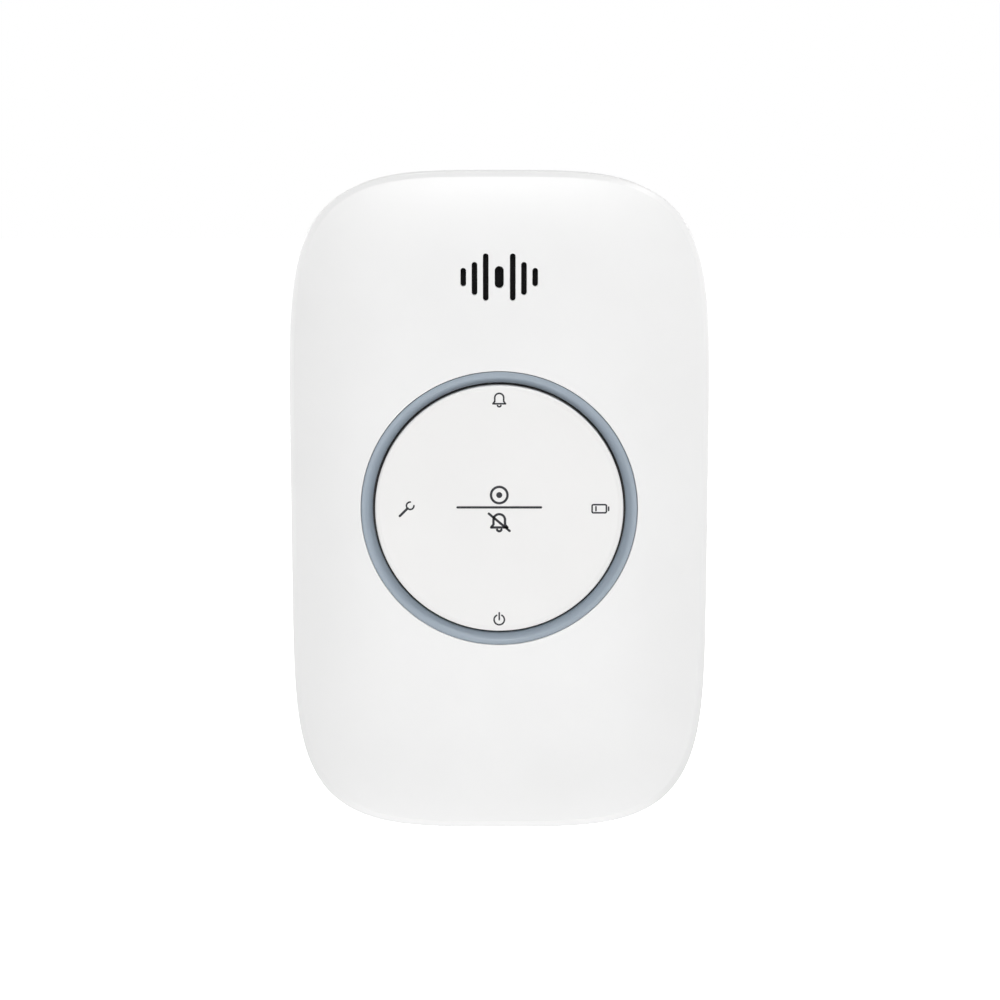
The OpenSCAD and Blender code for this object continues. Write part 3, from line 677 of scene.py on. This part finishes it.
def make_plate():
    """The wall plate: rounded slab with a window, two countersunk screw holes and four hooks."""
    shell = Shell()
    front = PLATE_FRONT_Y
    rise = (plate_low.z + plate_high.z) / 2
    half_w, half_h = plate_high.x, (plate_high.z - plate_low.z) / 2
    outline = lambda d: squared_oval(half_w + d, half_h + d) + (0, rise)
    window = lambda d: rounded_box(-19 - d, 19 + d, -31 - d, 41 + d, 3 + d)
    holes = [hole(window, front, 0, 0.3)]
    countersink = [(1.6, front), (1.5, front + 0.06), (0, front * 0.38), (0, -0.1), (0.05, 0)]
    for z in (-WALL_SCREW_Z, WALL_SCREW_Z):
        holes.append((lambda d, z=z: circle(0, z, WALL_SCREW_R + d, HOLE_POINTS), countersink))
    slab(shell, outline, holes, front, 0, 0.3)
    for side in (-1, 1):
        x = (side * HOOK_X - HOOK_W / 2, side * HOOK_X + HOOK_W / 2)
        for z in HOOK_ZS:
            block(shell, x, (HOOK_FRONT_Y, front + 0.2), (z, z + 2), 0.2)
            block(shell, x, (HOOK_FRONT_Y, HOOK_FRONT_Y + 1.6), (z, z + 6), 0.2)
    return shell.build("mounting_plate")


def make_door():
    """The battery door: slab with a sprung tongue in two slits, thumb ridges and hinge barrel."""
    shell = Shell()
    inner_y, outer_y = door_low.y, door_low.y + DOOR_THICK
    half_w, low, high = DOOR_HALF_W, DOOR_LOW_Z, DOOR_HINGE_Z

    def outline(d):
        top = rounded_box(-half_w - d, half_w + d, low, high + d, 0.1, 2)[:6]
        left = [(-half_w - d, low - d)]
        right = [(half_w + d, low - d)]
        slits = []
        for x in (-5, 5):
            a, b = x - 0.35 + d, x + 0.35 - d
            slits += [(a, low - d), (a, low + 9 - d), (b, low + 9 - d), (b, low - d)]
        return np.array([*top, *left, *slits, *right])

    slab(shell, outline, [], inner_y, outer_y, 0.18)
    for i in range(4):
        z = low + 1.4 + 1.7 * i
        block(shell, (-3.6, 3.6), (outer_y - 0.2, outer_y + 0.35), (z, z + 0.7), 0.15)
    end, r = HINGE_HALF_W, HINGE_R
    barrel = [(0, -end), (r - 0.1, -end), (r, 0.1 - end), (r, end - 0.1), (r - 0.1, end), (0, end)]
    turned(shell, barrel, inner_y + r, high, axis="x", count=32)
    return shell.build("door_panel")


def make_label():
    """The door's blank label."""
    shell = Shell()
    outline = lambda d: rounded_box(label_low.x - d, label_high.x + d,
                                    label_low.z - d, label_high.z + d, 1.5 + d)
    slab(shell, outline, [], label_low.y, label_high.y, 0.03)
    return shell.build("blank_label")


# ---------------------------------------------------------------- cells and springs

def make_cell(name, x, low_z, up):
    """An AA cell as a film jacket and its two metal ends. up is 1 if its button is at the top."""
    jacket, ends = Shell(), Shell()
    place = (lambda z: low_z + z) if up > 0 else (lambda z: low_z + CELL_LEN - z)
    wrap = filleted([(6.2, 0.25, 0), (6.75, 0, 0.2), (CELL_R, 0.05, 0.3),
                     (CELL_R, CELL_LEN - 0.05, 0.3), (6.5, CELL_LEN, 0.2),
                     (5.9, CELL_LEN - 0.3, 0)], 4)
    turned(jacket, [(r, place(z)) for r, z in wrap], x, CELL_Y, "z", 96)
    nub_z = CELL_LEN + NUB_H
    metal_profile = [(0, 0.08), (5.9, 0.08), (6.3, 0.2), (6.3, CELL_LEN - 0.35),
                     (5.8, CELL_LEN - 0.2), (3.4, CELL_LEN - 0.2), (3.0, CELL_LEN - 0.05),
                     (NUB_R, CELL_LEN + 0.2), (NUB_R, nub_z - 0.25), (NUB_R - 0.2, nub_z),
                     (0, nub_z)]
    turned(ends, [(r, place(z)) for r, z in metal_profile], x, CELL_Y, "z", 96)
    return jacket.build(name + "_jacket"), ends.build(name + "_ends")


def make_cell_springs():
    """The two conical springs that the cells' flat ends press on."""
    top, bottom = link_low.z, minus_high.z
    length = top - bottom - CELL_LEN - NUB_H
    wide, narrow, turns, wire_r = 4.4, 2.4, 4, 0.3
    shell = Shell()
    for x, from_z, way in ((-CELL_X, top, -1), (CELL_X, bottom, 1)):
        wire_coil(shell, lambda u, v, w: (x + u, v + CELL_Y, from_z + way * w),
                  wide, narrow, length, turns, wire_r)
    return shell.build("cell_springs")


def make_button_springs():
    """The three springs under the button, between its snap legs."""
    shell = Shell()
    for turn in (30, 150, 270):
        x = SPRING_CIRCLE_R * math.cos(math.radians(turn))
        z = SPRING_CIRCLE_R * math.sin(math.radians(turn))
        wire_coil(shell, lambda u, v, w: (x + u, spring_low.y + w, z + v),
                  SPRING_R, SPRING_R, SPRING_LEN, 5, SPRING_WIRE_R)
    return shell.build("cap_springs")


cover = make_cover()
ring = make_ring()
button = make_button()
marks = button_marks(button_low.y + BUTTON_LIP)
rear, bay = make_rear()
plate = make_plate()
door = make_door()
label = make_label()
left_low = minus_high.z + NUB_H
right_low = link_low.z - NUB_H - CELL_LEN
left_jacket, left_ends = make_cell("left_cell", -CELL_X, left_low, -1)
right_jacket, right_ends = make_cell("right_cell", CELL_X, right_low, 1)
cell_springs = make_cell_springs()
cap_springs = make_button_springs()


# ---------------------------------------------------------------- materials

def shader(name, colour, roughness, metallic=0.0):
    """A new material, its node tree and its principled shader."""
    material = bpy.data.materials.new(name)
    material.use_nodes = True
    tree = material.node_tree
    surface = tree.nodes["Principled BSDF"]
    surface.inputs["Base Color"].default_value = (*colour, 1)
    surface.inputs["Roughness"].default_value = roughness
    surface.inputs["Metallic"].default_value = metallic
    return material, tree, surface


def add_node(tree, kind, **values):
    """A node with some of its sockets set, or its own settings where no socket has that name."""
    made = tree.nodes.new(kind)
    for key, value in values.items():
        if key in made.inputs:
            made.inputs[key].default_value = value
        else:
            setattr(made, key, value)
    return made


def place_on(tree, stretch=(1, 1, 1)):
    """Coordinates fixed to the object, in metres, stretched along each axis."""
    where = add_node(tree, "ShaderNodeTexCoord")
    scale = add_node(tree, "ShaderNodeMapping", Scale=stretch)
    tree.links.new(where.outputs["Object"], scale.inputs["Vector"])
    return scale.outputs["Vector"]


def noise(tree, size_mm, detail=2.0, stretch=(1, 1, 1)):
    """Noise whose features are about size_mm across."""
    made = add_node(tree, "ShaderNodeTexNoise", Scale=1 / (size_mm * MM), Detail=detail)
    tree.links.new(place_on(tree, stretch), made.inputs["Vector"])
    return made.outputs["Fac"]


def cells(tree, size_mm, stretch=(1, 1, 1)):
    """Distance to scattered points size_mm apart, for pits and specks."""
    made = add_node(tree, "ShaderNodeTexVoronoi", Scale=1 / (size_mm * MM))
    tree.links.new(place_on(tree, stretch), made.inputs["Vector"])
    return made.outputs["Distance"]


def ramp(tree, source, stops, target, sharp=False):
    """Colours a value by (position, colour) stops."""
    made = add_node(tree, "ShaderNodeValToRGB")
    if sharp:
        made.color_ramp.interpolation = "CONSTANT"
    while len(made.color_ramp.elements) < len(stops):
        made.color_ramp.elements.new(0.5)
    for element, (position, colour) in zip(made.color_ramp.elements, stops):
        element.position = position
        element.color = (*[max(0, min(1, c)) for c in colour], 1)
    tree.links.new(source, made.inputs["Fac"])
    tree.links.new(made.outputs["Color"], target)


def mottle(tree, surface, source, colour, amount):
    """Base colour that drifts a little darker and lighter."""
    stops = [(0.3, [c * (1 - amount) for c in colour]), (0.7, [c * (1 + amount) for c in colour])]
    ramp(tree, source, stops, surface.inputs["Base Color"])


def vary_roughness(tree, surface, source, low, high):
    """Roughness that drifts between two values."""
    scale = add_node(tree, "ShaderNodeMapRange")
    scale.inputs["To Min"].default_value = low
    scale.inputs["To Max"].default_value = high
    tree.links.new(source, scale.inputs["Value"])
    tree.links.new(scale.outputs["Result"], surface.inputs["Roughness"])


def bump(tree, surface, source, height_mm):
    """Fine relief, up to height_mm high."""
    made = add_node(tree, "ShaderNodeBump", Distance=height_mm * MM)
    tree.links.new(source, made.inputs["Height"])
    tree.links.new(made.outputs["Normal"], surface.inputs["Normal"])


def plastic(name, colour, roughness, grain_mm=0.22, grain_height=0.004, drift=0.01):
    """Moulded plastic: a fine spark-eroded grain, and slow drift in colour and in gloss."""
    material, tree, surface = shader(name, colour, roughness)
    mottle(tree, surface, noise(tree, 14, 3), colour, drift)
    vary_roughness(tree, surface, noise(tree, 5, 4), roughness - 0.04, roughness + 0.04)
    bump(tree, surface, noise(tree, grain_mm, 3), grain_height)
    return material


def lens(name, colour, roughness, depth_mm=0.8):
    """Milky moulded lens: light sinks in a little, under a smooth skin."""
    material, tree, surface = shader(name, colour, roughness)
    surface.inputs["Subsurface Weight"].default_value = 0.12
    surface.inputs["Subsurface Radius"].default_value = (0.7, 0.9, 1.0)
    surface.inputs["Subsurface Scale"].default_value = depth_mm * MM
    mottle(tree, surface, noise(tree, 6, 3), colour, 0.02)
    vary_roughness(tree, surface, noise(tree, 2, 3), roughness - 0.05, roughness + 0.05)
    bump(tree, surface, noise(tree, 0.5, 2), 0.001)
    return material


def metal(name, colour, roughness, grain=(1, 1, 1), grain_mm=0.15):
    """Plated or drawn metal: a fine grain along the way it was worked, and faint stains."""
    material, tree, surface = shader(name, colour, roughness, metallic=1.0)
    mottle(tree, surface, noise(tree, 2.5, 3), colour, 0.06)
    vary_roughness(tree, surface, noise(tree, 0.8, 3, grain), roughness - 0.08, roughness + 0.1)
    bump(tree, surface, noise(tree, grain_mm, 2, grain), 0.002)
    return material


def foam(name, colour):
    """Closed-cell foam: small pits under a dull skin."""
    material, tree, surface = shader(name, colour, 0.95)
    mottle(tree, surface, noise(tree, 1.5, 3), colour, 0.2)
    bump(tree, surface, cells(tree, 0.35), 0.08)
    return material


def mesh_cloth(name, colour):
    """Woven dust cloth: crossed threads, a quarter of a millimetre apart."""
    material, tree, surface = shader(name, colour, 0.85)
    surface.inputs["Specular IOR Level"].default_value = 0.25
    threads = []
    for axis in ("X", "Z"):
        wave = add_node(tree, "ShaderNodeTexWave", bands_direction=axis,
                        Scale=1 / (0.5 * math.pi * MM))
        tree.links.new(place_on(tree), wave.inputs["Vector"])
        threads.append(wave.outputs["Fac"])
    over = add_node(tree, "ShaderNodeMath", operation="MULTIPLY")
    for i, thread in enumerate(threads):
        tree.links.new(thread, over.inputs[i])
    stops = [(0.1, [c * 0.4 for c in colour]), (0.8, [c * 1.6 for c in colour])]
    ramp(tree, over.outputs["Value"], stops, surface.inputs["Base Color"])
    bump(tree, surface, over.outputs["Value"], 0.06)
    return material


def board_green(name, colour):
    """Solder mask with copper tracks showing through it as slightly lighter, raised lanes."""
    material, tree, surface = shader(name, colour, 0.35)
    tracks = add_node(tree, "ShaderNodeTexBrick", Scale=1 / (9 * MM))
    tracks.inputs["Mortar Size"].default_value = 0.04
    flip = add_node(tree, "ShaderNodeVectorRotate", rotation_type="X_AXIS", Angle=math.pi / 2)
    tree.links.new(place_on(tree), flip.inputs["Vector"])
    tree.links.new(flip.outputs["Vector"], tracks.inputs["Vector"])
    ramp(tree, tracks.outputs["Fac"], [(0.2, colour), (0.8, [c * 1.9 for c in colour])],
         surface.inputs["Base Color"])
    vary_roughness(tree, surface, noise(tree, 3, 3), 0.28, 0.42)
    bump(tree, surface, tracks.outputs["Fac"], 0.03)
    return material


def fired(name, colour, roughness=0.6):
    """Ceramic or ferrite: dense specks and a slightly pitted skin."""
    material, tree, surface = shader(name, colour, roughness)
    mottle(tree, surface, noise(tree, 0.4, 4), colour, 0.12)
    vary_roughness(tree, surface, noise(tree, 1, 3), roughness - 0.08, roughness + 0.08)
    bump(tree, surface, cells(tree, 0.3), 0.01)
    return material


def jacket_film(name, colour, band, edge_z_mm):
    """Shrunk film in two plain colours, which meet at a height along the cell."""
    material, tree, surface = shader(name, colour, 0.28)
    surface.inputs["Coat Weight"].default_value = 0.4
    apart = add_node(tree, "ShaderNodeSeparateXYZ")
    tree.links.new(place_on(tree), apart.inputs["Vector"])
    level = add_node(tree, "ShaderNodeMapRange")
    level.inputs["From Min"].default_value = (edge_z_mm - 1) * MM
    level.inputs["From Max"].default_value = (edge_z_mm + 1) * MM
    tree.links.new(apart.outputs["Z"], level.inputs["Value"])
    ramp(tree, level.outputs["Result"], [(0, colour), (0.5, band)], surface.inputs["Base Color"],
         sharp=True)
    vary_roughness(tree, surface, noise(tree, 4, 3), 0.22, 0.34)
    bump(tree, surface, noise(tree, 3, 3, (1, 1, 0.3)), 0.03)
    return material


COPPER, CHARCOAL = (0.55, 0.25, 0.1), (0.025, 0.027, 0.03)
looks = {
    "cover_plastic": plastic("cover_plastic", (0.84, 0.84, 0.838), 0.32),
    "case_plastic": plastic("case_plastic", (0.82, 0.82, 0.817), 0.46),
    "plate_plastic": plastic("plate_plastic", (0.8, 0.8, 0.797), 0.5),
    "button_plastic": plastic("button_plastic", (0.824, 0.82, 0.814), 0.32, 0.15, 0.002),
    "ring_plastic": lens("ring_plastic", (0.33, 0.389, 0.452), 0.3),
    "black_plastic": plastic("black_plastic", (0.03, 0.03, 0.031), 0.5),
    "grey_plastic": plastic("grey_plastic", (0.25, 0.26, 0.27), 0.5),
    "ink": plastic("ink", (0.02, 0.02, 0.026), 0.55, 0.1, 0.002, 0.1),
    "label_film": plastic("label_film", (0.76, 0.77, 0.77), 0.35, 0.5, 0.002),
    "mesh_cloth": mesh_cloth("mesh_cloth", (0.0045, 0.0045, 0.005)),
    "foam": foam("foam", (0.03, 0.03, 0.03)),
    "zinc_steel": metal("zinc_steel", (0.62, 0.63, 0.64), 0.3),
    "spring_steel": metal("spring_steel", (0.6, 0.61, 0.62), 0.25, (1, 1, 0.2)),
    "tinned_metal": metal("tinned_metal", (0.72, 0.71, 0.68), 0.28),
    "sensor_steel": metal("sensor_steel", (0.6, 0.6, 0.6), 0.33, (1, 0.1, 1)),
    "capacitor_can": metal("capacitor_can", (0.75, 0.76, 0.77), 0.3, (1, 0.1, 1)),
    "brass": metal("brass", (0.78, 0.6, 0.28), 0.3),
    "ceramic": fired("ceramic", (0.85, 0.83, 0.78), 0.4),
    "ferrite": fired("ferrite", (0.06, 0.06, 0.065)),
    "chip_ceramic": fired("chip_ceramic", (0.4, 0.3, 0.2), 0.5),
    "board": board_green("board", (0.02, 0.13, 0.055)),
    "red_lens": lens("red_lens", (0.75, 0.2, 0.16), 0.25, 0.4),
    "amber_lens": lens("amber_lens", (0.85, 0.5, 0.12), 0.25, 0.4),
    "yellow_lens": lens("yellow_lens", (0.85, 0.75, 0.2), 0.25, 0.4),
    "green_lens": lens("green_lens", (0.3, 0.75, 0.35), 0.25, 0.4),
    "cell_jacket": jacket_film("cell_jacket", CHARCOAL, COPPER, right_low + FILM_BAND_Z),
}
# The left cell stands on its head, so its colours swap.
left_film = jacket_film("cell_jacket_turned", COPPER, CHARCOAL, left_low + CELL_LEN - FILM_BAND_Z)

# The CAD nodes that stay as they are take the material of their slot.
slot_of = {s["node"]: s["material_slot"] for s in frame["record"]["subparts"]}
for name, node in frame["nodes"].items():
    node.data.materials.clear()
    node.data.materials.append(looks[slot_of[name]])
    for face in node.data.polygons:
        face.use_smooth = True
    weld = node.modifiers.new("weld", "WELD")
    weld.merge_threshold = 0.001 * MM
    smooth_edges = node.modifiers.new("edges", "EDGE_SPLIT")
    smooth_edges.split_angle = math.radians(35)

# Every piece, the body it moves with, its material slot, and the CAD nodes it stands for.
for piece, body, slot_name, replaced in (
        (cover, "detector", "cover_plastic", ["front_cover"]),
        (ring, "detector", "ring_plastic", ["light_ring"]),
        (button, "test_button", "button_plastic", ["button_cap"]),
        (marks, "test_button", "black_plastic", []),
        (rear, "detector", "case_plastic", ["rear_case"]),
        (bay, "detector", "case_plastic", []),
        (plate, "wall_plate", "plate_plastic", ["wall_plate"]),
        (door, "battery_door", "case_plastic", ["battery_door"]),
        (label, "battery_door", "label_film", ["door_label"]),
        (left_jacket, "detector", "cell_jacket", ["battery_left"]),
        (right_jacket, "detector", "cell_jacket", ["battery_right"]),
        (left_ends, "detector", "tinned_metal", []),
        (right_ends, "detector", "tinned_metal", []),
        (cell_springs, "detector", "spring_steel", ["contact_springs"]),
        (cap_springs, "detector", "spring_steel", ["button_springs"])):
    piece.data.materials.append(looks[slot_name])
    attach(piece, body)
    if replaced:
        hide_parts(*replaced)
marks.data.materials[0] = looks["ink"]
left_jacket.data.materials[0] = left_film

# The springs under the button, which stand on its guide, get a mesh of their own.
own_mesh(cap_springs)


# ---------------------------------------------------------------- stage, light and camera

FACE_CENTRE = Vector((0, FRONT_Y * MM, 0))


def area_light(name, azimuth, elevation, size, power):
    """A round soft light one metre from the middle of the face. Azimuth 0 is in front, 90 right."""
    lamp = bpy.data.lights.new(name, "AREA")
    lamp.shape = "DISK"
    lamp.size = size
    lamp.energy = power
    made = bpy.data.objects.new(name, lamp)
    bpy.context.scene.collection.objects.link(made)
    a, e = math.radians(azimuth), math.radians(elevation)
    way = Vector((math.cos(e) * math.sin(a), -math.cos(e) * math.cos(a), math.sin(e)))
    made.location = FACE_CENTRE + way
    made.rotation_euler = way.to_track_quat("Z", "Y").to_euler()


def make_floor(z, reach):
    """A pale floor at a height in metres. It shows, but neither shades nor lights the object."""
    mesh = bpy.data.meshes.new("floor")
    corners = [(-reach, -reach, z), (reach, -reach, z), (reach, reach, z), (-reach, reach, z)]
    mesh.from_pydata(corners, [], [(0, 1, 2, 3)])
    made = bpy.data.objects.new("floor", mesh)
    bpy.context.scene.collection.objects.link(made)
    material, _, surface = shader("pale_floor", (0.9, 0.9, 0.9), 0.9)
    surface.inputs["Emission Color"].default_value = (1, 1, 1, 1)
    surface.inputs["Emission Strength"].default_value = 1.0
    mesh.materials.append(material)
    made.visible_diffuse = made.visible_glossy = made.visible_shadow = False


def make_world(strength):
    """An even studio sky that lights softly and shows as plain white."""
    world = bpy.data.worlds.new("studio")
    bpy.context.scene.world = world
    world.use_nodes = True
    tree = world.node_tree
    light = tree.nodes["Background"]
    light.inputs["Color"].default_value = (1, 1, 1, 1)
    light.inputs["Strength"].default_value = strength
    seen = add_node(tree, "ShaderNodeBackground", Color=(1, 1, 1, 1), Strength=1.0)
    path = add_node(tree, "ShaderNodeLightPath")
    mix = add_node(tree, "ShaderNodeMixShader")
    tree.links.new(path.outputs["Is Camera Ray"], mix.inputs["Fac"])
    tree.links.new(light.outputs["Background"], mix.inputs[1])
    tree.links.new(seen.outputs["Background"], mix.inputs[2])
    tree.links.new(mix.outputs["Shader"], tree.nodes["World Output"].inputs["Surface"])


make_floor(z=-0.14, reach=6.0)
make_world(0.313)
# Each lamp's name, azimuth, elevation, diameter in metres and power in watts.
for lamp in (
        ("key", 0, 30, 0.35, 2.62),
        ("fill", 0, 30, 0.9, 2.25),
        ("low_fill", 0, -14, 0.35, 0.95),
        ("high_right", 60, 62, 0.35, 2.8),
        ("right_rim", 112, 8, 0.8, 4.1),
        ("left_rim", -112, 8, 0.8, 6.8),
        ("below", 0, -67, 1.2, 6.7),
        ("back", 180, 35, 0.6, 1.2)):
    area_light(*lamp)

VIEW_DISTANCE = 0.3888      # metres from the middle of the face
VIEW_ELEVATION = math.radians(9)
AIM_OFFSET = Vector((0.00014, 0, 0.00177))      # the view's centre, seen from the face's
camera_data = bpy.data.cameras.new("camera")
camera_data.lens = 77
camera_data.sensor_width = 36
camera = bpy.data.objects.new("camera", camera_data)
bpy.context.scene.collection.objects.link(camera)
camera.location = FACE_CENTRE + VIEW_DISTANCE * Vector(
    (0, -math.cos(VIEW_ELEVATION), math.sin(VIEW_ELEVATION)))
sight = FACE_CENTRE + AIM_OFFSET - camera.location
camera.rotation_euler = sight.to_track_quat("-Z", "Y").to_euler()
bpy.context.scene.camera = camera
bpy.context.scene.view_settings.view_transform = "Standard"
